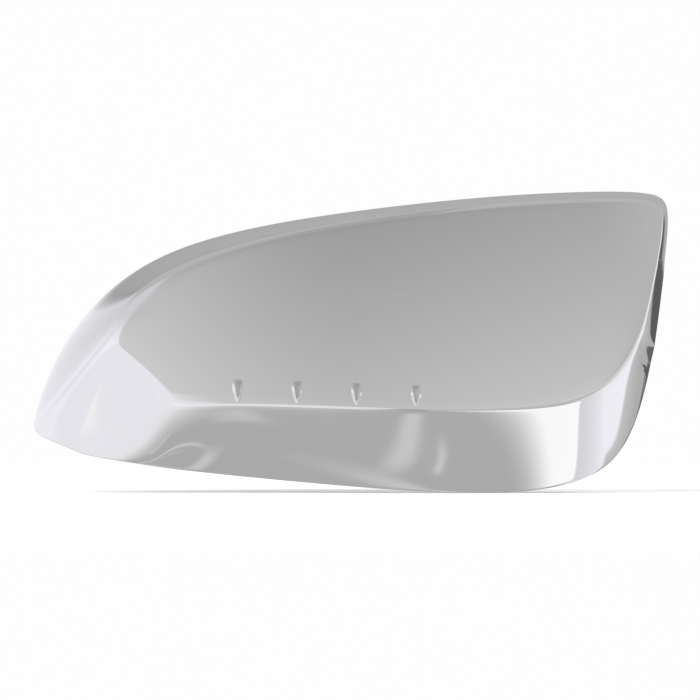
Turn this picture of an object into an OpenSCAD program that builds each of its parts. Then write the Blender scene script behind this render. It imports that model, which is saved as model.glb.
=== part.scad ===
// Wing mirror cover: a one-piece moulded cap, chrome plated, that snaps over a door mirror's housing.
// X runs from the outboard tip to the inboard end, Z is up, and the face looks towards -Y.
// The open back looks towards +Y. The origin is on the main locating pin, at its shoulder.

/* [Overall size] */
// width over the rim, from the outboard tip to the inboard edge
cap_w = 250; // [210:1:290]
// height over the rim
cap_h = 119; // [100:0.5:140]
// wall thickness of the moulding
wall_t = 2.5; // [2:0.1:3.2]

/* [Depth] */
// distance from the face to the middle of the rim's plane
rim_depth = 60; // [50:1:72]
// extra depth of the rim at its top edge, and as much less at its bottom edge
rim_tilt_v = 7; // [3:0.5:10]
// extra depth of the rim at the outboard tip, and as much less at the inboard end
rim_tilt_h = 7; // [3:0.5:10]
// how far the rim comes forward at the foot of the outboard ridge
ridge_cut_d = 14; // [8:1:18]

/* [Face] */
// how far the face bows back at two fifths of the width from its foremost line
face_bow = 8; // [4:0.5:12]
// place of the face's foremost line along X
face_front_x = 30; // [10:1:50]
// extra sweep of the face towards the outboard end, over the same distance
face_sweep = 6; // [3:0.5:9]
// how far the face leans back over two fifths of the height
face_lean = 2.4; // [1:0.2:5]
// how far the face rounds back at two fifths of the height above or below its middle
face_crown = 2.8; // [1:0.2:5]

/* [Arm cut-out] */
// how far the rim is cut back at the inboard end, where the mirror's arm passes
arm_cut_d = 14; // [8:1:18]
// height of the arm cut-out
arm_cut_h = 42; // [34:1:48]
// height of the middle of the arm cut-out above the origin
arm_cut_z = 12; // [8:1:16]
// length of the run-out at each end of the arm cut-out
arm_cut_run = 8; // [6:1:12]
// depth of the shallow rebate in the side wall in front of the cut-out
rebate_d = 1.3; // [0.8:0.1:1.6]

/* [Edges] */
// rounding of the rim's outer edge
rim_round = 0.7; // [0.4:0.1:1]
// smallest rounding inside the moulding
inner_round = 1; // [0.6:0.1:2]

/* [Fins] */
// how many air fins stand along the face's lower edge
fin_n = 4; // [2:1:6]
// distance between neighbouring fins
fin_pitch = 23.2; // [18:0.2:26]
// place of the first fin along X
fin_x0 = -44; // [-60:1:-30]
// length of a fin
fin_l = 9.2; // [7:0.2:12]
// width of a fin
fin_w = 4.2; // [3:0.1:5.5]
// height of a fin above the face
fin_h = 1.8; // [1.2:0.1:2.4]

/* [Snap hooks] */
// width of a hook
hook_w = 11; // [8:0.5:14]
// thickness of a hook's tongue
hook_t = 2; // [1.6:0.1:2.6]
// length of a hook's tongue above its foot
hook_l = 14; // [11:0.5:18]
// gap between the wall and a hook's tongue
hook_gap = 4.5; // [3.5:0.5:6]
// how far a hook's barb stands out
barb_h = 1.8; // [1.2:0.1:2.4]
// length of the lead-in slope on a barb
barb_lead = 3.2; // [2.4:0.1:4]
// thickness of the two webs that carry a hook
web_t = 1.6; // [1.2:0.1:2]
// how far down the webs of a hook reach below its foot
web_drop = 7; // [5:0.5:10]

/* [Locating pins] */
// diameter of the pins
pin_d = 6; // [5:0.1:7]
// length of the pins above their shoulder
pin_l = 9; // [7:0.5:12]
// chamfer at the tip of a pin
pin_lead = 0.8; // [0.4:0.1:1.2]
// distance from the outer face to the shoulder of the pins
seat_h = 16; // [13:0.5:19]
// width of the shoulder round a pin
shoulder_w = 1.2; // [0.8:0.1:1.6]
// span of the crossed ribs below a pin
cross_w = 16; // [13:0.5:20]
// thickness of the crossed ribs
cross_t = 1.6; // [1.2:0.1:2]
// how far below the shoulder the crossed ribs end
cross_low = 1.5; // [1:0.5:3]
// place of the second pin along X
pin2_x = -56; // [-64:1:-46]
// height of the second pin
pin2_z = 2; // [-6:1:10]

/* [Hidden] */
// rows of points along the face, round its edge and along the side, as shares of each
face_rows = [0.16, 0.38, 0.6, 0.8, 0.93];
round_rows = 4;
side_rows = [0.04, 0.06, 0.2, 0.4, 0.6, 0.8, 1];
inner_side_rows = [0.2, 0.4, 0.6, 0.8, 1];
step_t = 0.05;
// how deep the inner details are rooted in the wall
embed = wall_t / 2;

// Sections of the shell, clockwise from the lower outboard ridge:
// [face edge x, face edge z, rim x, rim z, edge rounding, swell of the side, facet on the face]
sections = [
    [-91.8,  -0.4, -107.6, -43.2, 1.2,  0.3,   0],
    [  -91,     4, -118.4, -38.9,   2,  0.4,   0],
    [-90.2,     7, -124.2, -36.6,   3, 0.45,   0],
    [-89.2,   9.6, -125.8, -32.6, 4.5,  0.5,   0],
    [-87.4,    13,   -122,   -20,   7, 0.65,   0],
    [-84.4,    17,   -115.6,    -4,   9,  0.7,   0],
    [-79.6,    22, -103,    14.6,   8,  0.7,   0],
    [  -71,    28,  -84.2,    30,   5, 0.65,   0],
    [  -53,  35.6,    -61,  40.2,   3, 0.55,   0],
    [  -22,  43.8,    -28,  47.8, 2.5,  0.5,   0],
    [   18,  50.2,     14,  53.6, 2.2,  0.5,   0],
    [ 57.6,  54.6,     57,    58,   2,  0.5,   0],
    [   95,  56.6,     96,  59.8,   2,  0.5,   0],
    [119.6,  56.4,    121,  59.4,   2,  0.6,   0],
    [  123,    50,  126.4,  54.3,   2,  0.7,   0],
    [120.2,    33,  123.6,    30,   2,  0.7,   0],
    [116.2,    13,  120.9,     8,   2,  0.6,   0],
    [111.6,  -3.5,    118,   -12, 2.2,  0.5,   0],
    [102.3, -17.6,    111,   -38, 2.4, 0.35,   0],
    [   87, -24.9,     98,   -54,   2, 0.28,   0],
    [   62,   -27,     67, -60.6, 1.2, 0.22,   0],
    [   25, -26.8,     22,   -59,   1,  0.2,   0],
    [  -15,   -25,    -24,   -55,   1,  0.2,   0],
    [  -46, -24.2,    -54,   -52,   1, 0.22,   0],
    [  -64, -24.6,    -71,   -50, 1.2, 0.25, 0.5],
    [-72.4, -24.2,    -79, -48.8, 1.4, 0.25,   3],
    [  -75, -18.4,    -84,   -48, 1.4, 0.25,   2],
    [-82.5,    -9,    -95, -46.3, 1.2, 0.25,   0],
    [-90.2,  -2.6, -105.4, -44.3, 1.1, 0.25,   0]
];

// sections between which the side wall is rebated, and half the width of the rebate's end steps
rebate_from = 15;
rebate_to = 17;
rebate_step = 0.02;
// where the hooks stand round the ring, by section
hook_places = [8, 10.4, 12.6, 19.6, 22, 24];
// gap between the tip of a hook and the plane of the rim
hook_tip_gap = 2;

n_sec = len(sections);
// places round the ring, three or four to a section and closer together at the inboard end
ring_t = [
    for (i = [0 : 31]) i / 4,
    for (i = [24 : 38]) i / 3,
    for (i = [52 : 57]) i / 4,
    for (i = [144 : 149]) i / 10,
    rebate_from - rebate_step, rebate_from + rebate_step,
    for (i = [151 : 154]) i / 10,
    for (i = [78 : 82]) i / 5,
    for (i = [165 : 169]) i / 10,
    rebate_to - rebate_step, rebate_to + rebate_step,
    for (i = [171 : 175]) i / 10,
    for (i = [71 : 79]) i / 4,
    for (i = [60 : 71]) i / 3,
    for (i = [96 : 115]) i / 4
];
n_around = len(ring_t);

// Small functions
function unit(v) = v / norm(v);
function clamp01(v) = min(1, max(0, v));
function smooth(v) = let (c = clamp01(v)) c * c * (3 - 2 * c);
function quad(a, b, c, u) = (1 - u) * (1 - u) * a + 2 * u * (1 - u) * b + u * u * c;
function cubic(q, u) = pow(1 - u, 3) * q[0] + 3 * u * pow(1 - u, 2) * q[1]
    + 3 * u * u * (1 - u) * q[2] + pow(u, 3) * q[3];

// one section, blended smoothly round the closed ring
function section(i) = sections[(i + 4 * n_sec) % n_sec];
function blend(t) = let (i = floor(t), u = t - i)
    (pow(1 - u, 3) * section(i - 1)
    + (3 * pow(u, 3) - 6 * u * u + 4) * section(i)
    + (-3 * pow(u, 3) + 3 * u * u + 3 * u + 1) * section(i + 1)
    + pow(u, 3) * section(i + 2)) / 6;

// the sections are drawn near their final size, and stretched to the overall size
drawn = [for (i = [0 : 8 * n_sec - 1]) blend(i / 8)];
function span(list) = max(list) - min(list);
kx = cap_w / span([for (s = drawn) s[2]]);
kz = cap_h / span([for (s = drawn) s[3]]);
// middle of the fan that fills the face
hub = [12 * kx, 14 * kz];

// Face
reach_x = 0.4 * cap_w;
reach_z = 0.4 * cap_h;
function bow(x) = face_bow * pow((x - face_front_x) / reach_x, 2)
    + face_sweep * pow(max(0, face_front_x - x) / reach_x, 3);
function bow_slope(x) = (2 * face_bow * (x - face_front_x) / reach_x
    - 3 * face_sweep * pow(max(0, face_front_x - x) / reach_x, 2)) / reach_x;
function face_y(x, z) = -seat_h + bow(x) - bow(0) + face_lean * z / reach_z + face_crown * pow(z / reach_z, 2);
function face_slope(x, z) = [bow_slope(x), (face_lean + 2 * face_crown * z / reach_z) / reach_z];
function face_normal(x, z) = let (s = face_slope(x, z)) unit([s[0], -1, s[1]]);
// the face's surface, a given depth below the outside
function skin_y(x, z, depth) = face_y(x, z) + depth / -face_normal(x, z).y;

// Rim
function arm_cut(x, z) = x < 0 ? 0
    : arm_cut_d * smooth((arm_cut_h / 2 - abs(z - arm_cut_z)) / arm_cut_run);
function ridge_cut(x, z) = ridge_cut_d * smooth((-2 * x / cap_w - 0.4) / 0.36)
    * smooth((-2 * z / cap_h - 0.55) / 0.17);
function rim_y(x, z) = rim_depth - seat_h + rim_tilt_v * z / (cap_h / 2) - rim_tilt_h * x / (cap_w / 2)
    - arm_cut(x, z) - ridge_cut(x, z);

// One section of the shell
function face_edge(s) = [s[0] * kx, face_y(s[0] * kx, s[1] * kz), s[1] * kz];
function rim_edge(s) = [s[2] * kx, rim_y(s[2] * kx, s[3] * kz), s[3] * kz];
// guide points of the side's curve: it leaves the face more flatly and ends more steeply with swell
function side_guide(c, r, swell) = let (
    d = r - c,
    across = [d.x, 0, d.z],
    slope = face_slope(c.x, c.z),
    along_face = slope[0] * d.x + slope[1] * d.z)
    [c, c + (across + [0, along_face + (1 - swell) * (d.y - along_face), 0]) / 3,
     r - (across * (1 - swell) + [0, d.y, 0]) / 3, r];

// everything that both skins need at place t round the ring
function frame_at(t) = let (
    s = blend(t),
    s0 = blend(t - step_t),
    s1 = blend(t + step_t),
    c = face_edge(s),
    r = rim_edge(s),
    q = side_guide(c, r, s[5]),
    edge_dir = face_edge(s1) - face_edge(s0),
    rim_dir = rim_edge(s1) - rim_edge(s0),
    n_face = face_normal(c.x, c.z),
    n_side = unit(cross(edge_dir + 0.05 * rim_dir, q[1] - q[0])),
    n_rim = unit(cross(rim_dir, q[3] - q[2])),
    inwards = unit([edge_dir.z, 0, -edge_dir.x]),
    rim_inwards = unit([rim_dir.z, 0, -rim_dir.x]))
    [q, s[4], n_face, n_side, n_rim, inwards, rim_inwards, s[6]];

// depth of the rebate at place t, a share v of the way down the side: it runs out at the rim
function rebate(t, v) = t > rebate_from && t < rebate_to && v > side_rows[0] ? rebate_d * (1 - v) : 0;

// guide points of the same curve, a given depth below the outside
function sunk_guide(f, depth) = let (
    q = f[0],
    c = q[0] - depth * (f[2] + f[3]) / (1 + f[2] * f[3]),
    r = q[3] - depth * f[4],
    k = norm(r - c) / norm(q[3] - q[0]))
    [[c.x, skin_y(c.x, c.z, depth), c.z], c + (q[1] - q[0]) * k, r - (q[3] - q[2]) * k, r];

// points of one section from the hub of the face to the rim
function skin_line(f, depth, t) = let (
    q = sunk_guide(f, depth),
    a = max(inner_round, f[1] - 0.6 * depth),
    c = q[0],
    foot = c + (a + f[7]) * f[5],
    on_face = [foot.x, skin_y(foot.x, foot.z, depth), foot.z],
    u0 = a / norm(q[3] - q[0]),
    u1 = depth == 0 ? 1 - rim_round / norm(q[3] - q[0]) : 1)
    concat(
        [for (k = face_rows) let (
            x = hub[0] + k * (foot.x - hub[0]),
            z = hub[1] + k * (foot.z - hub[1]))
            [x, skin_y(x, z, depth), z]],
        [for (j = [0 : round_rows]) quad(on_face, c, cubic(q, u0), j / round_rows)],
        [for (v = depth == 0 ? side_rows : inner_side_rows) cubic(q, u0 + (u1 - u0) * v)
            - (depth == 0 ? rebate(t, v) : 0) * unit(f[3] * (1 - v) + f[4] * v)]);

function reversed(list) = [for (i = [len(list) - 1 : -1 : 0]) list[i]];

// the closed run of points: outside from hub to rim, round the rim's edge, and back inside
function ring_line(t) = let (
    f = frame_at(t),
    outer = skin_line(f, 0, t),
    inner = skin_line(f, wall_t, t),
    last = outer[len(outer) - 1],
    r = f[0][3],
    lip = r - rim_round * f[4])
    concat(outer, [quad(last, r, lip, 0.5), lip], reversed(inner));

module shell() {
    lines = [for (t = ring_t) ring_line(t)];
    rows = len(lines[0]);
    poles = [[hub[0], skin_y(hub[0], hub[1], 0), hub[1]],
             [hub[0], skin_y(hub[0], hub[1], wall_t), hub[1]]];
    points = concat(poles, [for (line = lines) each line]);
    function at(i, j) = 2 + (i % n_around) * rows + j;
    faces = concat(
        [for (i = [0 : n_around - 1]) [0, at(i, 0), at(i + 1, 0)]],
        [for (i = [0 : n_around - 1]) [1, at(i + 1, rows - 1), at(i, rows - 1)]],
        [for (i = [0 : n_around - 1], j = [0 : rows - 2])
            each [[at(i, j), at(i, j + 1), at(i + 1, j + 1)], [at(i, j), at(i + 1, j + 1), at(i + 1, j)]]]);
    polyhedron(points, faces);
}

// Air fins
// a drop-shaped fin: pointed at the face's lower edge, highest near there, widening and fading upwards
fin_rows = 9;
fin_sides = 10;
// gap between the face's lower edge and a fin's point
fin_gap = 0.8;
function fin_width(v) = fin_w / 2 * pow(sin(125 * pow(v, 0.9)), 0.7);
function fin_rise(v) = fin_h * pow(sin(180 * pow(v, 0.45)), 1.2);

module fin(x) {
    z0 = lower_edge_z(x) + fin_gap;
    // both ends dip into the wall, because the face rounds off at its edge
    dip = embed / 2;
    ring = [for (i = [1 : fin_rows]) let (v = i / (fin_rows + 1), z = z0 + v * fin_l)
        [for (k = [0 : fin_sides]) let (a = 180 * k / fin_sides)
            [x + fin_width(v) * cos(a), face_y(x, z) - fin_rise(v) * sin(a), z]]];
    base = [for (line = ring) [for (p = [line[0], line[fin_sides]]) p + [0, embed, 0]]];
    n = fin_sides + 3;
    points = concat(
        [[x, face_y(x, z0) + dip, z0], [x, face_y(x, z0) + embed, z0]],
        [for (i = [0 : fin_rows - 1]) each concat(ring[i], [base[i][1], base[i][0]])],
        [[x, face_y(x, z0 + fin_l) + dip, z0 + fin_l], [x, face_y(x, z0 + fin_l) + embed, z0 + fin_l]]);
    function at(i, k) = 2 + i * n + k % n;
    last = 2 + fin_rows * n;
    faces = concat(
        [for (k = [0 : fin_sides - 1]) [0, at(0, k), at(0, k + 1)]],
        [[0, 1, at(0, n - 1)], [0, at(0, n - 1), at(0, 0)],
         [0, at(0, fin_sides), at(0, n - 2)], [0, at(0, n - 2), 1], [1, at(0, n - 2), at(0, n - 1)]],
        [for (i = [0 : fin_rows - 2], k = [0 : n - 1])
            each [[at(i, k), at(i + 1, k), at(i + 1, k + 1)], [at(i, k), at(i + 1, k + 1), at(i, k + 1)]]],
        [for (k = [0 : fin_sides - 1]) [last, at(fin_rows - 1, k + 1), at(fin_rows - 1, k)]],
        [[last, at(fin_rows - 1, n - 1), last + 1], [last, at(fin_rows - 1, 0), at(fin_rows - 1, n - 1)],
         [last, at(fin_rows - 1, n - 2), at(fin_rows - 1, fin_sides)],
         [last, last + 1, at(fin_rows - 1, n - 2)],
         [last + 1, at(fin_rows - 1, n - 1), at(fin_rows - 1, n - 2)]]);
    polyhedron(points, faces);
}

// height of the face's lower edge at a place along X, found by stepping along the lower sections
function lower_edge_z(x) = let (
    along = [for (t = [19 : 0.1 : 24]) let (s = blend(t)) [abs(s[0] * kx - x), s[1] * kz]],
    best = min([for (p = along) p[0]]))
    [for (p = along) if (p[0] == best) p[1]][0];

module fins() {
    for (i = [0 : fin_n - 1]) fin((fin_x0 + i * fin_pitch) * kx);
}

// Snap hooks
// share of the way down the side at which the wall is at depth y behind the face
function side_share(q, y) = let (
    steps = [for (i = [10 : 49]) i / 50],
    miss = [for (u = steps) abs(cubic(q, u).y - y)],
    least = min(miss))
    [for (i = [0 : len(steps) - 1]) if (miss[i] == least) steps[i]][0];

// a tongue on a foot that grows from the side wall, with its barb turned to the cavity
module hook(t) {
    f = frame_at(t);
    q = sunk_guide(f, embed);
    u = side_share(q, q[3].y - hook_tip_gap - hook_l - hook_t);
    wall_normal = unit(f[3] * (1 - u) + f[4] * u);
    // how far the wall moves inwards for each millimetre towards the rim
    lean = -wall_normal.y / (wall_normal * f[6]);
    inside = embed + hook_gap + hook_t;
    tip = hook_t + hook_l;
    translate(cubic(q, u)) rotate([0, -atan2(f[6].z, f[6].x), 0]) {
        translate([0, 0, -hook_w / 2]) linear_extrude(hook_w)
            polygon([
                [0, 0], [inside, 0], [inside, tip - barb_lead], [inside + barb_h, tip - barb_lead],
                [inside - hook_t / 2, tip], [inside - hook_t, tip], [inside - hook_t, hook_t],
                [lean * hook_t, hook_t]]);
        for (side = [-1, 1])
            translate([0, 0, side * (hook_w - web_t) / 2 - web_t / 2]) linear_extrude(web_t)
                polygon([
                    [lean * hook_t, hook_t], [-lean * web_drop, -web_drop], [inside, 0], [inside, hook_t]]);
    }
}

module snap_hooks() {
    for (t = hook_places) hook(t);
}

// Locating pins
// a stepped post that stands on crossed ribs: the pin proper starts at the shoulder, at y = 0
module locating_pin(x, z) {
    root_y = skin_y(x, z, embed);
    translate([x, 0, z]) rotate([-90, 0, 0]) {
        cylinder(h = pin_l - pin_lead, d = pin_d, $fn = 48);
        translate([0, 0, pin_l - pin_lead])
            cylinder(h = pin_lead, d1 = pin_d, d2 = pin_d - 2 * pin_lead, $fn = 48);
        translate([0, 0, root_y]) cylinder(h = -root_y, d = pin_d + 2 * shoulder_w, $fn = 48);
    }
    r = cross_w / 2;
    // one rib along X and one along Z, each with its root following the face
    translate([x, 0, z - cross_t / 2]) linear_extrude(cross_t)
        polygon([
            [-r, skin_y(x - r, z, embed)], [r, skin_y(x + r, z, embed)],
            [r, -cross_low], [-r, -cross_low]]);
    translate([x - cross_t / 2, 0, z]) rotate([0, 90, 0]) linear_extrude(cross_t)
        polygon([
            [r, skin_y(x, z - r, embed)], [-r, skin_y(x, z + r, embed)],
            [-r, -cross_low], [r, -cross_low]]);
}

module locating_pins() {
    locating_pin(0, 0);
    locating_pin(pin2_x * kx, pin2_z * kz);
}

// The cover
module mirror_cover() {
    color("silver") union() {
        shell();
        fins();
        snap_hooks();
        locating_pins();
    }
}

mirror_cover();
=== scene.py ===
import math
import bmesh
import bpy
from mathutils import Matrix, Vector


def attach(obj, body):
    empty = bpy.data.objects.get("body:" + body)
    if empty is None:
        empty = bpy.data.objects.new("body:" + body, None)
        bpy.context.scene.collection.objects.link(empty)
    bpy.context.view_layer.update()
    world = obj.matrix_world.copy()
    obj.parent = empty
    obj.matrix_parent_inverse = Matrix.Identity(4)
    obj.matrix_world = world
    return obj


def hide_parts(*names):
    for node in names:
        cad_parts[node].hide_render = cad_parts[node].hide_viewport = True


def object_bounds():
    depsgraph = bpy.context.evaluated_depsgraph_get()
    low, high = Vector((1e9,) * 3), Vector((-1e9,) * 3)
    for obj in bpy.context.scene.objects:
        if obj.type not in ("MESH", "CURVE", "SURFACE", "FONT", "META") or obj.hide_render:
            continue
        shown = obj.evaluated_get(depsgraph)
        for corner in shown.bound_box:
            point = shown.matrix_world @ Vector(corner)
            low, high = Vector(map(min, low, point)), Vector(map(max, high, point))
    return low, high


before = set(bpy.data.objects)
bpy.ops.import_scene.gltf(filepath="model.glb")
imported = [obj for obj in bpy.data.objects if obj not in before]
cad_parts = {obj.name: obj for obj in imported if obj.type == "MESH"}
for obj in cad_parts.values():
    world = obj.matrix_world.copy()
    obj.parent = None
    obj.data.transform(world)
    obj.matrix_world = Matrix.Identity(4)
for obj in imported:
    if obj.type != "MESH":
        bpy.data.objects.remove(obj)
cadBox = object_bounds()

# Chrome-plated wing mirror cover: the moulding is drawn again, denser, from the same sections as the solid.
# Lengths are in millimetres until addPiece turns them into metres.
mm = 0.001

cover = {
    "w": 250.0, "h": 119.0, "wall": 2.5, "embed": 1.25, "rimDepth": 60.0, "rimTiltV": 7.0, "rimTiltH": 7.0,
    "seat": 16.0, "bow": 8.0, "frontX": 30.0, "sweep": 6.0, "lean": 2.4, "crown": 2.8, "reach": 0.4,
    "armCutD": 14.0, "armCutH": 42.0, "armCutZ": 12.0, "armCutRun": 8.0,
    "ridgeCutD": 14.0, "ridgeCutX": (0.4, 0.36), "ridgeCutZ": (0.55, 0.17), "rowCrowding": 0.9,
    "rebateD": 1.3, "rebateFrom": 15.0, "rebateTo": 17.0, "rebateStep": 0.02, "rebateShares": (0.04, 0.055),
    "rimRound": 0.7, "innerRound": 1.0, "innerRoundShare": 0.6, "hub": (12.0, 14.0), "slopeStep": 0.05,
    "perSection": 14, "faceRows": 14, "roundRows": 8, "sideRows": 26, "innerRows": 9, "lipRows": 4,
}

# [face edge x, face edge z, rim x, rim z, edge rounding, swell, facet], clockwise from the outboard ridge
sections = [
    [-91.8, -0.4, -107.6, -43.2, 1.2, 0.3, 0],
    [-91, 4, -118.4, -38.9, 2, 0.4, 0],
    [-90.2, 7, -124.2, -36.6, 3, 0.45, 0],
    [-89.2, 9.6, -125.8, -32.6, 4.5, 0.5, 0],
    [-87.4, 13, -122, -20, 7, 0.65, 0],
    [-84.4, 17, -115.6, -4, 9, 0.7, 0],
    [-79.6, 22, -103, 14.6, 8, 0.7, 0],
    [-71, 28, -84.2, 30, 5, 0.65, 0],
    [-53, 35.6, -61, 40.2, 3, 0.55, 0],
    [-22, 43.8, -28, 47.8, 2.5, 0.5, 0],
    [18, 50.2, 14, 53.6, 2.2, 0.5, 0],
    [57.6, 54.6, 57, 58, 2, 0.5, 0],
    [95, 56.6, 96, 59.8, 2, 0.5, 0],
    [119.6, 56.4, 121, 59.4, 2, 0.6, 0],
    [123, 50, 126.4, 54.3, 2, 0.7, 0],
    [120.2, 33, 123.6, 30, 2, 0.7, 0],
    [116.2, 13, 120.9, 8, 2, 0.6, 0],
    [111.6, -3.5, 118, -12, 2.2, 0.5, 0],
    [102.3, -17.6, 111, -38, 2.4, 0.35, 0],
    [87, -24.9, 98, -54, 2, 0.28, 0],
    [62, -27, 67, -60.6, 1.2, 0.22, 0],
    [25, -26.8, 22, -59, 1, 0.2, 0],
    [-15, -25, -24, -55, 1, 0.2, 0],
    [-46, -24.2, -54, -52, 1, 0.22, 0],
    [-64, -24.6, -71, -50, 1.2, 0.25, 0.5],
    [-72.4, -24.2, -79, -48.8, 1.4, 0.25, 3],
    [-75, -18.4, -84, -48, 1.4, 0.25, 2],
    [-82.5, -9, -95, -46.3, 1.2, 0.25, 0],
    [-90.2, -2.6, -105.4, -44.3, 1.1, 0.25, 0],
]


# A row between the sections at place t round the ring, on a smooth curve
def blend(t):
    i = math.floor(t)
    u = t - i
    n = len(sections)
    weights = ((1 - u) ** 3, 3 * u ** 3 - 6 * u * u + 4, -3 * u ** 3 + 3 * u * u + 3 * u + 1, u ** 3)
    rows = [sections[(i - 1 + k) % n] for k in range(4)]
    return [sum(w * row[c] for w, row in zip(weights, rows)) / 6 for c in range(7)]


def span(values):
    return max(values) - min(values)


def smooth(v):
    c = min(1, max(0, v))
    return c * c * (3 - 2 * c)


def quad(a, b, c, u):
    return a * (1 - u) ** 2 + b * 2 * u * (1 - u) + c * u * u


def cubic(q, u):
    return q[0] * (1 - u) ** 3 + q[1] * 3 * u * (1 - u) ** 2 + q[2] * 3 * u * u * (1 - u) + q[3] * u ** 3


# The sections are stretched to the overall size, as in the solid
drawn = [blend(i / 8) for i in range(8 * len(sections))]
kx = cover["w"] / span([s[2] for s in drawn])
kz = cover["h"] / span([s[3] for s in drawn])
reachX = cover["reach"] * cover["w"]
reachZ = cover["reach"] * cover["h"]
hub = (cover["hub"][0] * kx, cover["hub"][1] * kz)


# The face is a height field over X and Z
def bow(x):
    return cover["bow"] * ((x - cover["frontX"]) / reachX) ** 2 + cover["sweep"] * (
        max(0, cover["frontX"] - x) / reachX) ** 3


def faceY(x, z):
    return -cover["seat"] + bow(x) - bow(0) + cover["lean"] * z / reachZ + cover["crown"] * (z / reachZ) ** 2


def faceSlope(x, z):
    across = (2 * cover["bow"] * (x - cover["frontX"]) / reachX
              - 3 * cover["sweep"] * (max(0, cover["frontX"] - x) / reachX) ** 2) / reachX
    return across, (cover["lean"] + 2 * cover["crown"] * z / reachZ) / reachZ


def faceNormal(x, z):
    sx, sz = faceSlope(x, z)
    return Vector((sx, -1, sz)).normalized()


def skinY(x, z, depth):
    return faceY(x, z) + depth / -faceNormal(x, z).y


# The rim lies in a tilted plane, cut back where the mirror's arm passes and at the foot of the outboard ridge
def rimY(x, z):
    c = cover
    cut = 0
    if x >= 0:
        cut = c["armCutD"] * smooth((c["armCutH"] / 2 - abs(z - c["armCutZ"])) / c["armCutRun"])
    (x0, runX), (z0, runZ) = c["ridgeCutX"], c["ridgeCutZ"]
    cut += c["ridgeCutD"] * smooth((-2 * x / c["w"] - x0) / runX) * smooth((-2 * z / c["h"] - z0) / runZ)
    tilt = c["rimTiltV"] * z / (c["h"] / 2) - c["rimTiltH"] * x / (c["w"] / 2)
    return c["rimDepth"] - c["seat"] + tilt - cut


def faceEdge(s):
    return Vector((s[0] * kx, faceY(s[0] * kx, s[1] * kz), s[1] * kz))


def rimEdge(s):
    return Vector((s[2] * kx, rimY(s[2] * kx, s[3] * kz), s[3] * kz))


# Everything that both skins need at place t round the ring
def frameAt(t):
    step = cover["slopeStep"]
    s, s0, s1 = blend(t), blend(t - step), blend(t + step)
    a, r = faceEdge(s), rimEdge(s)
    d = r - a
    across = Vector((d.x, 0, d.z))
    sx, sz = faceSlope(a.x, a.z)
    alongFace = sx * d.x + sz * d.z
    q = [a, a + (across + Vector((0, alongFace + (1 - s[5]) * (d.y - alongFace), 0))) / 3,
         r - (across * (1 - s[5]) + Vector((0, d.y, 0))) / 3, r]
    edgeDir = faceEdge(s1) - faceEdge(s0)
    rimDir = rimEdge(s1) - rimEdge(s0)
    return {
        "q": q, "edge": s[4], "facet": s[6], "t": t,
        "face": faceNormal(a.x, a.z),
        "side": (edgeDir + step * rimDir).cross(q[1] - q[0]).normalized(),
        "rim": rimDir.cross(q[3] - q[2]).normalized(),
        "inwards": Vector((edgeDir.z, 0, -edgeDir.x)).normalized(),
        "rimInwards": Vector((rimDir.z, 0, -rimDir.x)).normalized(),
    }


def sunkGuide(f, depth):
    q = f["q"]
    a = q[0] - depth * (f["face"] + f["side"]) / (1 + f["face"].dot(f["side"]))
    r = q[3] - depth * f["rim"]
    k = (r - a).length / (q[3] - q[0]).length
    return [Vector((a.x, skinY(a.x, a.z, depth), a.z)), a + (q[1] - q[0]) * k, r - (q[3] - q[2]) * k, r]


def rebate(t, v):
    inside = cover["rebateFrom"] < t < cover["rebateTo"] and v > cover["rebateShares"][0]
    return cover["rebateD"] * (1 - v) if inside else 0


# Points of one section from the middle of the face to the rim
def skinLine(f, depth, rows, sideShares):
    q = sunkGuide(f, depth)
    a = max(cover["innerRound"], f["edge"] - cover["innerRoundShare"] * depth)
    foot = q[0] + (a + f["facet"]) * f["inwards"]
    onFace = Vector((foot.x, skinY(foot.x, foot.z, depth), foot.z))
    length = (q[3] - q[0]).length
    u0 = a / length
    u1 = 1 - cover["rimRound"] / length if depth == 0 else 1
    line = []
    for k in range(1, rows):
        share = (k / rows) ** cover["rowCrowding"]
        x, z = hub[0] + share * (foot.x - hub[0]), hub[1] + share * (foot.z - hub[1])
        line.append(Vector((x, skinY(x, z, depth), z)))
    n = cover["roundRows"]
    line += [quad(onFace, q[0], cubic(q, u0), j / n) for j in range(n + 1)]
    for v in sideShares:
        p = cubic(q, u0 + (u1 - u0) * v)
        if depth == 0:
            p = p - rebate(f["t"], v) * (f["side"] * (1 - v) + f["rim"] * v).normalized()
        line.append(p)
    return line


def sRgb(text):
    channels = [int(text[i:i + 2], 16) / 255 for i in (0, 2, 4)]
    return [v / 12.92 if v <= 0.04045 else ((v + 0.055) / 1.055) ** 2.4 for v in channels] + [1]


# Adds a shader node and gives the output that is wanted. Its inputs are values or other nodes' outputs.
def shaderNode(tree, kind, inputs, output=0, **settings):
    node = tree.nodes.new(kind)
    for name, value in settings.items():
        setattr(node, name, value)
    for key, value in (inputs.items() if isinstance(inputs, dict) else enumerate(inputs)):
        if isinstance(value, bpy.types.NodeSocket):
            tree.links.new(value, node.inputs[key])
        else:
            node.inputs[key].default_value = value
    return node.outputs[output] if node.outputs else node


# Adds a piece of the one moulding
def addPiece(name, bm, material, sharp=30):
    bmesh.ops.recalc_face_normals(bm, faces=bm.faces)
    bmesh.ops.scale(bm, vec=(mm, mm, mm), verts=bm.verts)
    for face in bm.faces:
        face.smooth = True
    for edge in bm.edges:
        if len(edge.link_faces) == 2 and edge.calc_face_angle(0) > math.radians(sharp):
            edge.smooth = False
    mesh = bpy.data.meshes.new(name)
    bm.to_mesh(mesh)
    bm.free()
    piece = bpy.data.objects.new(name, mesh)
    bpy.context.scene.collection.objects.link(piece)
    mesh.materials.append(material)
    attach(piece, "root")
    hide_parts("mirror_cover")
    return piece


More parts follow.
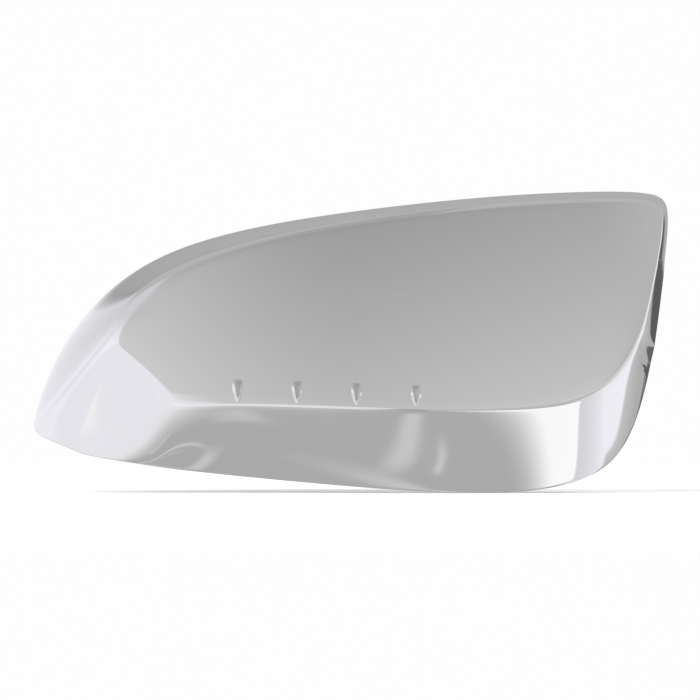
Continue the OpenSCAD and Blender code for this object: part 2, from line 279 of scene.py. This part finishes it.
# Bright decorative chrome on moulded plastic: a near-perfect mirror, with the faint waviness of the moulding
def chromePlating():
    look = {"colour": "e9e9ea", "roughness": 0.045, "waveMm": 60.0, "waveHeight": 0.012}
    material = bpy.data.materials.new("decorative chrome plate")
    material.use_nodes = True
    tree = material.node_tree
    shader = tree.nodes["Principled BSDF"]
    shader.inputs["Base Color"].default_value = sRgb(look["colour"])
    shader.inputs["Metallic"].default_value = 1
    shader.inputs["Roughness"].default_value = look["roughness"]
    place = shaderNode(tree, "ShaderNodeTexCoord", {}, "Object")
    perMetre = 1 / (look["waveMm"] * mm)
    wave = shaderNode(tree, "ShaderNodeTexNoise", {"Vector": place, "Scale": perMetre, "Detail": 1}, "Fac")
    bump = shaderNode(tree, "ShaderNodeBump",
                      {"Height": wave, "Distance": look["waveHeight"] * mm, "Strength": 1}, "Normal")
    tree.links.new(bump, shader.inputs["Normal"])
    return material


plating = chromePlating()


# Shell: a disc on the middle of the face, extruded ring by ring over the edge, round the rim and back inside
def shellMesh():
    c = cover
    places = [i / c["perSection"] for i in range(len(sections) * c["perSection"])]
    for at in (c["rebateFrom"], c["rebateTo"]):
        places = [t for t in places if abs(t - at) > 1e-6] + [at - c["rebateStep"], at + c["rebateStep"]]
    places.sort()
    first, second = c["rebateShares"]
    outerShares = [first] + [second + (1 - second) * j / c["sideRows"] for j in range(c["sideRows"] + 1)]
    innerShares = [j / c["innerRows"] for j in range(1, c["innerRows"] + 1)]
    lines = []
    for t in places:
        f = frameAt(t)
        outer = skinLine(f, 0, c["faceRows"], outerShares)
        inner = skinLine(f, c["wall"], c["innerRows"], innerShares)
        lip = f["q"][3] - c["rimRound"] * f["rim"]
        bend = [quad(outer[-1], f["q"][3], lip, k / c["lipRows"]) for k in range(1, c["lipRows"] + 1)]
        lines.append(outer + bend + inner[::-1])
    bm = bmesh.new()
    disc = bmesh.ops.create_circle(bm, cap_ends=True, cap_tris=True, segments=len(places), radius=1)["verts"]
    middle = next(v for v in disc if len(v.link_edges) > 4)
    ring = [v for v in disc if v is not middle]
    middle.co = (hub[0], skinY(*hub, 0), hub[1])
    for v, line in zip(ring, lines):
        v.co = line[0]
    edges = [e for e in bm.edges if middle not in e.verts]
    for row in range(1, len(lines[0])):
        order = {v: i for i, v in enumerate(ring)}
        made = bmesh.ops.extrude_edge_only(bm, edges=edges)["geom"]
        edges = [g for g in made if isinstance(g, bmesh.types.BMEdge)]
        ring = [None] * len(ring)
        for v in made:
            if isinstance(v, bmesh.types.BMVert):
                old = next(e.other_vert(v) for e in v.link_edges if e.other_vert(v) in order)
                ring[order[old]] = v
        for v, line in zip(ring, lines):
            v.co = line[row]
    cap = bmesh.ops.contextual_create(bm, geom=edges)["faces"]
    poked = bmesh.ops.poke(bm, faces=cap)["verts"][0]
    poked.co = (hub[0], skinY(*hub, c["wall"]), hub[1])
    return bm


shell = addPiece("coverShell", shellMesh(), plating)
print("shell", len(shell.data.polygons), "faces")


# Air fins: drops that are pointed at the face's lower edge, and widen and fade upwards
fins = {
    "n": 4, "pitch": 23.2, "x0": -44.0, "l": 9.2, "w": 4.2, "h": 1.8, "gap": 0.8,
    "arc": 125, "arcPower": 0.9, "widthPower": 0.7, "highest": 0.21, "crownPower": 0.45,
    "footPower": 1.0, "fadePower": 1.35, "back": 0.4, "flankPower": 1.1,
    "edgeFrom": 19, "edgeTo": 24, "round": 40, "along": 26,
}


def finWidth(v):
    return fins["w"] / 2 * math.sin(math.radians(fins["arc"] * v ** fins["arcPower"])) ** fins["widthPower"]


def finRise(v):
    swell = max(0, math.sin(math.pi * v ** fins["crownPower"]))
    return fins["h"] * swell ** (fins["footPower"] if v < fins["highest"] else fins["fadePower"])


# Across the fin: a narrow flat back, and a straight flank on each side
def finBack(across):
    return 1 - max(0, (abs(across) - fins["back"]) / (1 - fins["back"])) ** fins["flankPower"]


# Height of the face's lower edge, found among close places between two sections
def lowerEdgeZ(x, perSection=40):
    along = [blend(i / perSection) for i in range(fins["edgeFrom"] * perSection, fins["edgeTo"] * perSection)]
    best = min(along, key=lambda s: abs(s[0] * kx - x))
    return best[1] * kz


def finMesh(x):
    bm = bmesh.new()
    bmesh.ops.create_uvsphere(bm, u_segments=fins["round"], v_segments=fins["along"], radius=1)
    z0 = lowerEdgeZ(x) + fins["gap"]
    for v in bm.verts:
        share = min(1, max(0, (v.co.z + 1) / 2))
        around = math.hypot(v.co.x, v.co.y)
        pole = around < 1e-5
        across, out = (0, 0) if pole else (v.co.x / around, v.co.y / around)
        width = finWidth(share)
        rise = finRise(share) * finBack(across) if out > 0 else cover["embed"] * out
        dip = cover["embed"] / 2 if pole else 0
        px, pz = x + width * across, z0 + share * fins["l"]
        v.co = (px, faceY(px, pz) - rise + dip, pz)
    return bm


for i in range(fins["n"]):
    addPiece("airFin%d" % (i + 1), finMesh((fins["x0"] + i * fins["pitch"]) * kx), plating, sharp=60)
print("fins", fins["n"])


# A flat plate from its outline, extruded both ways from the middle, with its edges broken
def addPlate(whole, outline, place, thick, edge):
    bm = bmesh.new()
    verts = [bmesh.ops.create_vert(bm, co=(x, y, -thick / 2))["vert"][0] for x, y in outline]
    face = bmesh.ops.contextual_create(bm, geom=verts)["faces"]
    made = bmesh.ops.extrude_face_region(bm, geom=face)["geom"]
    top = [g for g in made if isinstance(g, bmesh.types.BMVert)]
    bmesh.ops.translate(bm, vec=(0, 0, thick), verts=top)
    bmesh.ops.recalc_face_normals(bm, faces=bm.faces)
    bmesh.ops.bevel(bm, geom=list(bm.edges), offset=edge, offset_type="OFFSET", segments=2, profile=0.5,
                    affect="EDGES", clamp_overlap=True, material=-1)
    bmesh.ops.transform(bm, matrix=place, verts=bm.verts)
    mesh = bpy.data.meshes.new("plate")
    bm.to_mesh(mesh)
    bm.free()
    whole.from_mesh(mesh)
    bpy.data.meshes.remove(mesh)


# Share of the way down the side at which the wall is at depth y behind the face
def sideShare(q, y, steps=50):
    return min((i / steps for i in range(steps // 5, steps)), key=lambda u: abs(cubic(q, u).y - y))


# Snap hooks: a tongue on a foot that grows from the side wall, carried by two webs, its barb inwards
hooks = {
    "w": 11.0, "t": 2.0, "l": 14.0, "gap": 4.5, "barb": 1.8, "lead": 3.2, "webT": 1.6, "webDrop": 7.0,
    "tipGap": 2.0, "places": (8, 10.4, 12.6, 19.6, 22, 24), "edge": 0.2,
}


def hookMesh(t):
    h = hooks
    f = frameAt(t)
    q = sunkGuide(f, cover["embed"])
    u = sideShare(q, q[3].y - h["tipGap"] - h["l"] - h["t"])
    wallNormal = (f["side"] * (1 - u) + f["rim"] * u).normalized()
    lean = -wallNormal.y / wallNormal.dot(f["rimInwards"])
    inside = cover["embed"] + h["gap"] + h["t"]
    tip = h["t"] + h["l"]
    tongue = [(0, 0), (inside, 0), (inside, tip - h["lead"]), (inside + h["barb"], tip - h["lead"]),
              (inside - h["t"] / 2, tip), (inside - h["t"], tip), (inside - h["t"], h["t"]),
              (lean * h["t"], h["t"])]
    web = [(lean * h["t"], h["t"]), (-lean * h["webDrop"], -h["webDrop"]), (inside, 0), (inside, h["t"])]
    turn = Matrix.Rotation(-math.atan2(f["rimInwards"].z, f["rimInwards"].x), 4, "Y")
    place = Matrix.Translation(cubic(q, u)) @ turn
    bm = bmesh.new()
    addPlate(bm, tongue, place, h["w"], h["edge"])
    for side in (-1, 1):
        aside = Matrix.Translation((0, 0, side * (h["w"] - h["webT"]) / 2))
        addPlate(bm, web, place @ aside, h["webT"], h["edge"] / 2)
    return bm


for i, t in enumerate(hooks["places"]):
    addPiece("snapHook%d" % (i + 1), hookMesh(t), plating, sharp=25)
print("hooks", len(hooks["places"]))


# Locating pins: a stepped post, turned from its profile, that stands on two crossed ribs
pins = {
    "d": 6.0, "l": 9.0, "lead": 0.8, "crossW": 16.0, "crossT": 1.6, "crossLow": 1.5, "shoulder": 1.2,
    "places": ((0.0, 0.0), (-56.0, 2.0)), "around": 48, "edge": 0.2,
}


def pinMesh(x, z):
    p = pins
    low = cover["embed"]
    root = skinY(x, z, low)
    r, core, e = p["d"] / 2, p["d"] / 2 + p["shoulder"], p["edge"]
    profile = [(core, root), (core, -e), (core - e, 0), (r, 0), (r, p["l"] - p["lead"]),
               (r - p["lead"], p["l"]), (0, p["l"])]
    bm = bmesh.new()
    verts = [bmesh.ops.create_vert(bm, co=(a, y, 0))["vert"][0] for a, y in profile]
    edges = [bmesh.ops.contextual_create(bm, geom=pair)["edges"][0] for pair in zip(verts, verts[1:])]
    bmesh.ops.spin(bm, geom=verts + edges, axis=(0, 1, 0), cent=(0, 0, 0), steps=p["around"],
                   angle=2 * math.pi, use_merge=True)
    bmesh.ops.remove_doubles(bm, verts=bm.verts, dist=1e-4)
    bmesh.ops.translate(bm, vec=(x, 0, z), verts=bm.verts)
    half = p["crossW"] / 2
    along = [(-half, skinY(x - half, z, low)), (half, skinY(x + half, z, low)),
             (half, -p["crossLow"]), (-half, -p["crossLow"])]
    upright = [(half, skinY(x, z - half, low)), (-half, skinY(x, z + half, low)),
               (-half, -p["crossLow"]), (half, -p["crossLow"])]
    middle = Matrix.Translation((x, 0, z))
    addPlate(bm, along, middle, p["crossT"], e)
    addPlate(bm, upright, middle @ Matrix.Rotation(math.pi / 2, 4, "Y"), p["crossT"], e)
    return bm


for i, (x, z) in enumerate(pins["places"]):
    addPiece("locatingPin%d" % (i + 1), pinMesh(x * kx, z * kz), plating, sharp=25)
print("pins", len(pins["places"]))

# Camera: a long lens straight in front of the face
camera = {"distance": 5.0, "pixels": 700, "pxPerMm": 2.54, "rimY": 38.0, "middlePx": (350.5, 342.3)}


def addCamera():
    c = camera
    data = bpy.data.cameras.new("camera")
    data.sensor_width = 36
    data.lens = c["pxPerMm"] * (c["distance"] / mm + c["rimY"]) / c["pixels"] * data.sensor_width
    data.clip_end = 60
    half = c["pixels"] / 2
    data.shift_x = (half - c["middlePx"][0]) / c["pixels"]
    data.shift_y = (c["middlePx"][1] - half) / c["pixels"]
    item = bpy.data.objects.new("camera", data)
    item.location = (0, -c["distance"], 0)
    item.rotation_euler = (math.pi / 2, 0, 0)
    bpy.context.scene.collection.objects.link(item)
    bpy.context.scene.camera = item


addCamera()

# Studio
studio = {
    "floorSize": 1.6, "floorFade": (0.55, 1.4), "floorColour": "f4f4f5",
    "tentRadius": 3.0, "leastDrop": 0.02, "screenGamma": 2.2, "reflectance": 0.82,
    "worldForFloor": 0.82, "worldForCamera": 0.99,
    "keyPower": 105.0, "keySize": 1.8, "keyPlace": (-1.3, -2.2, 1.1),
    "fillPower": 55.0, "fillSize": 1.8, "fillPlace": (1.5, -2.1, 1.1),
}


# Adds a mesh of the studio, which isn't part of the cover
def addStageMesh(name, bm, material):
    mesh = bpy.data.meshes.new(name)
    bm.to_mesh(mesh)
    bm.free()
    mesh.materials.append(material)
    item = bpy.data.objects.new(name, mesh)
    bpy.context.scene.collection.objects.link(item)
    return item


# White paper that fades out into the white studio behind it, so no horizon shows
def addFloor():
    bm = bmesh.new()
    bmesh.ops.create_grid(bm, x_segments=8, y_segments=8, size=studio["floorSize"])
    bmesh.ops.translate(bm, vec=(0, 0, cadBox[0].z), verts=bm.verts)
    material = bpy.data.materials.new("white paper")
    material.use_nodes = True
    tree = material.node_tree
    shader = tree.nodes["Principled BSDF"]
    shader.inputs["Base Color"].default_value = sRgb(studio["floorColour"])
    shader.inputs["Roughness"].default_value = 1
    shader.inputs["Specular IOR Level"].default_value = 0
    place = shaderNode(tree, "ShaderNodeTexCoord", {}, "Object")
    reach = shaderNode(tree, "ShaderNodeVectorMath", {0: place}, "Value", operation="LENGTH")
    fadeFrom, fadeTo = studio["floorFade"]
    fade = shaderNode(tree, "ShaderNodeMapRange", (reach, fadeFrom, fadeTo, 1, 0),
                      interpolation_type="SMOOTHSTEP")
    tree.links.new(fade, shader.inputs["Alpha"])
    addStageMesh("floor", bm, material).visible_glossy = False


def addLamp(name, power, size, place):
    data = bpy.data.lights.new(name, "AREA")
    data.energy = power
    data.size = size
    item = bpy.data.objects.new(name, data)
    item.location = place
    item.rotation_euler = (-Vector(place)).to_track_quat("-Z", "Y").to_euler()
    item.visible_camera = item.visible_glossy = False
    bpy.context.scene.collection.objects.link(item)


# White studio: what the camera and mirrors see of it is a little brighter than what lights the floor
def addWorld():
    world = bpy.data.worlds.new("studio")
    bpy.context.scene.world = world
    world.use_nodes = True
    tree = world.node_tree
    seen = shaderNode(tree, "ShaderNodeLightPath", {}, "Is Camera Ray")
    for ray in ("Is Glossy Ray", "Is Transmission Ray"):
        seen = shaderNode(tree, "ShaderNodeMath", (seen, shaderNode(tree, "ShaderNodeLightPath", {}, ray)),
                          operation="MAXIMUM")
    strength = shaderNode(tree, "ShaderNodeMapRange",
                          (seen, 0, 1, studio["worldForFloor"], studio["worldForCamera"]))
    background = tree.nodes["Background"]
    background.inputs["Color"].default_value = (1, 1, 1, 1)
    tree.links.new(strength, background.inputs["Strength"])


# The glowing tent that the plating mirrors, seen only in reflections: its greys are painted reflections, a
# painted studio of paper and cards with its light and shade. A place in it is told in two ways: "turn" gives
# the degrees round from the back (minus is outboard) and the elevation, and "floor" the place across and back
# on a floor one unit below. An edge is (way, first weight, second weight, where the card starts, where it is
# full), and a ramp is (way, first weight, second weight, from, to, grey from, grey to).
lavender = (1.0, 0.996, 1.018)
tentGlowCards = [
    # overhead, and the inboard wall
    {"edges": [("turn", 0, 1, 22, 36)], "ramp": ("turn", 1, 0, -160, -120, 0.638, 0.70)},
    {"edges": [("turn", 1, 0, 60, 80), ("turn", 1, 0, 165, 158), ("turn", 0, 1, -10, -2),
               ("turn", 0, 1, 40, 30)],
     "ramp": ("turn", 1, 0, 60, 165, 0.70, 0.70)},
    # behind, from outboard to the middle: pale, falling off upwards, and a darker wedge above it
    {"edges": [("turn", 1, 0, -128, -114), ("turn", 1, 0, 6, -2), ("turn", 0, 1, -6, 2),
               ("turn", 0, 1, 34, 26)],
     "ramp": ("turn", 0, 1, 4, 22, 0.93, 0.80), "tint": lavender},
    {"edges": [("turn", 1, 0, -60, -50), ("turn", 1, 0, 60, 30), ("turn", 0.62, 1, 0.5, 4.5),
               ("turn", 0, 1, 40, 32)], "ramp": ("turn", 0.62, 1, 2, 10, 0.60, 0.635)},
    # the floor's painted reflection, as the real floor is not mirrored: in front of the face, and behind it
    {"edges": [("turn", 0, 1, -8, -14), ("turn", 1, 0, -146, -152)],
     "ramp": ("turn", 0, 1, -20, -60, 0.72, 0.61)},
    {"edges": [("turn", 0, 1, -8, -14), ("turn", 1, 0, 60, 90)],
     "ramp": ("turn", 0, 1, -20, -80, 0.73, 0.655)},
    {"edges": [("turn", 0, 1, 2, -6), ("turn", 1, 0, -100, -70), ("turn", 1, 0, 75, 60)],
     "ramp": ("floor", 0, 1, 0, 1, 0.665, 0.655)},
    # outboard: the paper's fading edge, the paper, a brighter upper part, and a painted highlight for the
    # ridge
    {"edges": [("floor", 0.35, 1, 0.46, 0.36), ("floor", 1, 0, -0.04, -0.13), ("turn", 0, 1, -20, -26)],
     "ramp": ("floor", 0.35, 1, 0.06, 0.37, 0.87, 0.67)},
    {"edges": [("floor", 1, 1, -0.1, -0.24), ("floor", 1, 0, -0.12, -0.22), ("turn", 1, 0, -152, -126),
               ("turn", 0, 1, 3, -3), ("turn", 0, 1, -52, -44)],
     "ramp": ("turn", 1, 0, -120, -60, 0.90, 0.89), "tint": lavender},
    {"edges": [("floor", 0.35, 1, 0.12, -0.06), ("floor", 1, 0, -0.12, -0.2), ("turn", 1, 0, -152, -126)],
     "ramp": ("turn", 1, 0, -120, -60, 0.90, 0.89), "tint": lavender},
    {"edges": [("turn", 1, 0, -90, -80), ("turn", 1, 0, -30, -40), ("turn", 0, 1, 9, -1),
               ("turn", 0, 1, -30, -18)],
     "ramp": ("turn", 0, 1, -20, 5, 0.925, 0.915), "tint": lavender},
    {"edges": [("turn", 1, 0, -119, -124), ("turn", 1, 0, -140, -130), ("turn", 0, 1, -20, -30),
               ("turn", 0, 1, -56, -44)], "ramp": ("turn", 0, 1, -50, -20, 0.93, 0.935)},
    # inboard and low: pale paper, lavender paper with its painted dark end, and the white stripe, a painted
    # highlight
    {"edges": [("turn", 1, 0, 50, 75), ("turn", 1, 0, 158, 138), ("turn", 0, 1, -5, -18),
               ("turn", 0, 1, -80, -60)],
     "ramp": ("turn", 0, 1, -12, -45, 0.84, 0.91)},
    {"edges": [("turn", 1, 0, 38, 46), ("turn", 1, 0, 112, 98), ("turn", 0, 1, -34, -28),
               ("turn", 0, 1, 12, 5)],
     "ramp": ("turn", 0, 1, -20, 5, 0.96, 0.93)},
    {"edges": [("floor", 1, 0.155, 0.40, 0.46), ("turn", 0, 1, -4, -10), ("floor", 0, 1, -1.6, -0.5)],
     "ramp": ("floor", 1, 0.155, 0.5, 1.0, 0.82, 0.925), "tint": lavender},
    {"edges": [("turn", 0, 1, -37, -32), ("turn", 1, 0, 39, 36), ("turn", 1, 0, 8, 16)],
     "ramp": ("turn", 1, 0, 24, 38, 0.65, 0.75)},
    {"edges": [("floor", 1, -0.065, 0.02, 0.19), ("floor", 1, 0.155, 0.495, 0.465),
               ("floor", 0, 1, -1.6, -0.5), ("turn", 0, 1, -48, -50)],
     "ramp": ("floor", 1, 0, 0.1, 0.4, 0.97, 0.98)},
    # painted light streaks where the floor is mirrored: the near and the far end of the outboard one,
    # then the other two
    {"edges": [("floor", 1, -0.29, -0.345, -0.30), ("floor", 1, -0.29, -0.275, -0.30),
               ("floor", 0, 1, 0.36, 0.42), ("floor", 0, 1, 0.52, 0.46)],
     "ramp": ("floor", 0, 1, 0.4, 0.5, 0.75, 0.74)},
    {"edges": [("floor", 1, -0.29, -0.345, -0.30), ("floor", 1, -0.29, -0.265, -0.29),
               ("floor", 0, 1, 0.62, 0.78), ("floor", 0, 1, 1.1, 0.88)],
     "ramp": ("floor", 0, 1, 0.6, 0.9, 0.75, 0.76)},
    {"edges": [("floor", 1, 0.16, 0.014, 0.025), ("floor", 1, 0.16, 0.04, 0.03), ("floor", 0, 1, 0.24, 0.32),
               ("floor", 0, 1, 0.74, 0.56)], "ramp": ("floor", 0, 1, 0.3, 0.7, 0.775, 0.765)},
    {"edges": [("floor", 1, 0.14, 0.0395, 0.043), ("floor", 1, 0.14, 0.05, 0.045), ("floor", 0, 1, 0.36, 0.5),
               ("floor", 0, 1, 0.66, 0.58)], "ramp": ("floor", 0, 1, 0.4, 0.6, 0.76, 0.80)},
    # inboard edge: the dark flag, a painted dark reflection along the edge, level and a little lower
    {"edges": [("turn", 1, 0, 9, 13), ("turn", 1, 0, 27, 23), ("turn", 0, 1, -4, -3), ("turn", 0, 1, 3, 1)],
     "ramp": ("turn", 0, 1, -4, 3, 0.33, 0.36)},
    {"edges": [("turn", 1, 0.9, 15, 13.4), ("turn", 1, 0, 9, 12), ("turn", 0, 1, -14, -12),
               ("turn", 0, 1, -3, -4.5)],
     "ramp": ("turn", 0, 1, -12, -4, 0.38, 0.36)},
]


# The painted reflection in front of the face, a glowing grey on the tent: darkest a little outboard of the
# middle, lighter downwards and to both sides
facePaintedReflection = {
    "darkest": 0.714, "darkestAt": -8.0, "bluntness": 6.3, "perDegreeAside": 0.0026, "perDegreeUp": -0.0052,
    "least": 0.60, "most": 0.86,
}


def addFacePaintedReflection(tree, split, raised):
    p = facePaintedReflection
    x, y = split.outputs[:2]
    ahead = shaderNode(tree, "ShaderNodeMath", (y, -1), operation="MULTIPLY")
    aside = shaderNode(tree, "ShaderNodeMath", (x, ahead), operation="ARCTAN2")
    aside = shaderNode(tree, "ShaderNodeMath", (aside, math.degrees(1), -p["darkestAt"]),
                       operation="MULTIPLY_ADD")
    square = shaderNode(tree, "ShaderNodeMath", (aside, aside, p["bluntness"] ** 2), operation="MULTIPLY_ADD")
    aside = shaderNode(tree, "ShaderNodeMath", (square,), operation="SQRT")
    middle = p["darkest"] - p["bluntness"] * p["perDegreeAside"]
    grey = shaderNode(tree, "ShaderNodeMath", (aside, p["perDegreeAside"], middle), operation="MULTIPLY_ADD")
    slope = math.degrees(1) * p["perDegreeUp"]
    grey = shaderNode(tree, "ShaderNodeMath", (raised, slope, grey), operation="MULTIPLY_ADD")
    return shaderNode(tree, "ShaderNodeClamp", (grey, p["least"], p["most"]))


# Each card, a patch of painted glow on the tent, is laid over what is there already: its edges make the
# mask, and its ramp the grey
def addCard(tree, card, ways, lower, shade):
    mask = lower
    for way, first, second, start, end in card["edges"]:
        along = shaderNode(tree, "ShaderNodeVectorMath", (ways[way], (first, second, 0)), "Value",
                           operation="DOT_PRODUCT")
        edge = shaderNode(tree, "ShaderNodeMapRange", (along, start, end, 0, 1),
                          interpolation_type="SMOOTHSTEP")
        mask = shaderNode(tree, "ShaderNodeMath", (mask, edge), operation="MULTIPLY")
    way, first, second, start, end, low, high = card["ramp"]
    along = shaderNode(tree, "ShaderNodeVectorMath", (ways[way], (first, second, 0)), "Value",
                       operation="DOT_PRODUCT")
    grey = shaderNode(tree, "ShaderNodeMapRange", (along, start, end, low, high))
    # The card's painted glow: its tint scaled by its grey
    paper = shaderNode(tree, "ShaderNodeVectorMath", {0: card.get("tint", (1, 1, 1)), "Scale": grey},
                       operation="SCALE")
    return shaderNode(tree, "ShaderNodeMix", {0: mask, 4: shade, 5: paper}, 1, data_type="VECTOR")


def addTent():
    material = bpy.data.materials.new("glowing tent of painted reflections")
    material.use_nodes = True
    tree = material.node_tree
    tree.nodes.clear()
    place = shaderNode(tree, "ShaderNodeTexCoord", {}, "Object")
    unit = shaderNode(tree, "ShaderNodeVectorMath", {0: place}, operation="NORMALIZE")
    split = shaderNode(tree, "ShaderNodeSeparateXYZ", {0: unit}).node
    x, y, z = split.outputs
    turned = shaderNode(tree, "ShaderNodeMath", (x, y), operation="ARCTAN2")
    raised = shaderNode(tree, "ShaderNodeMath", (z,), operation="ARCSINE")
    radians = shaderNode(tree, "ShaderNodeCombineXYZ", (turned, raised))
    turn = shaderNode(tree, "ShaderNodeVectorMath", {0: radians, "Scale": math.degrees(1)}, operation="SCALE")
    down = shaderNode(tree, "ShaderNodeMath", (z, -1), operation="MULTIPLY")
    drop = shaderNode(tree, "ShaderNodeMath", (down, studio["leastDrop"]), operation="MAXIMUM")
    reach = shaderNode(tree, "ShaderNodeMath", (1, drop), operation="DIVIDE")
    floor = shaderNode(tree, "ShaderNodeVectorMath", {0: unit, "Scale": reach}, operation="SCALE")
    lower = shaderNode(tree, "ShaderNodeMath", (down, studio["leastDrop"]), operation="GREATER_THAN")
    shade = addFacePaintedReflection(tree, split, raised)
    for card in tentGlowCards:
        onFloor = any(edge[0] == "floor" for edge in card["edges"])
        shade = addCard(tree, card, {"turn": turn, "floor": floor}, lower if onFloor else 1, shade)
    # The painted greys are turned into glow: the tent is no lamp, yet its emission is all the light the
    # plating mirrors
    light = shaderNode(tree, "ShaderNodeGamma", (shade, studio["screenGamma"]))
    glow = shaderNode(tree, "ShaderNodeEmission", {"Color": light, "Strength": 1 / studio["reflectance"]})
    shaderNode(tree, "ShaderNodeOutputMaterial", {"Surface": glow})
    bm = bmesh.new()
    bmesh.ops.create_uvsphere(bm, u_segments=64, v_segments=32, radius=studio["tentRadius"])
    tent = addStageMesh("tent", bm, material)
    tent.visible_camera = tent.visible_diffuse = tent.visible_shadow = False
    tent.visible_transmission = tent.visible_volume_scatter = False


addFloor()
addLamp("key", studio["keyPower"], studio["keySize"], studio["keyPlace"])
addLamp("fill", studio["fillPower"], studio["fillSize"], studio["fillPlace"])
addWorld()
addTent()
bpy.context.scene.view_settings.view_transform = "Standard"
print("studio done")
